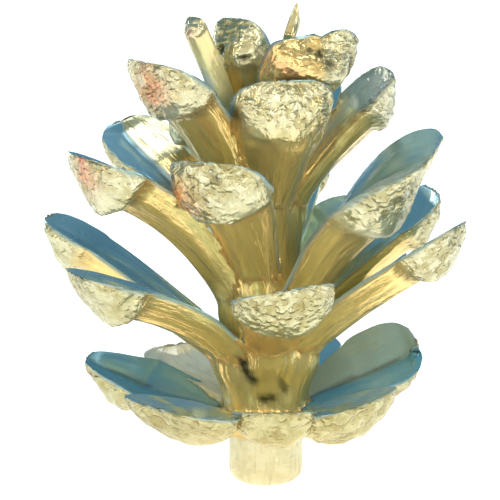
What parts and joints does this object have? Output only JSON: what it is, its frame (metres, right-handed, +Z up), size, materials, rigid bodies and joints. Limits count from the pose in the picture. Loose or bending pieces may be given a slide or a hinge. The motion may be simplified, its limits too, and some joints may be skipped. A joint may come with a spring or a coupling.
{
  "type": "pinecone finial",
  "caption": "Cast brass finial in the shape of an open pinecone, with outward-arching scales on a tapering core and a short round foot that stands flat or caps a post.",
  "frame": {"origin": "middle of the foot's flat underside", "axes": "+Z up along the core, -Y towards the viewer in the picture, +X to the viewer's right"},
  "size_m": [0.0547, 0.0469, 0.0634],
  "materials": {
    "brass": "polished casting with rough, pitted scale ends"
  },
  "bodies": {
    "root": {"pinecone_finial": "brass"}
  },
  "joints": []
}
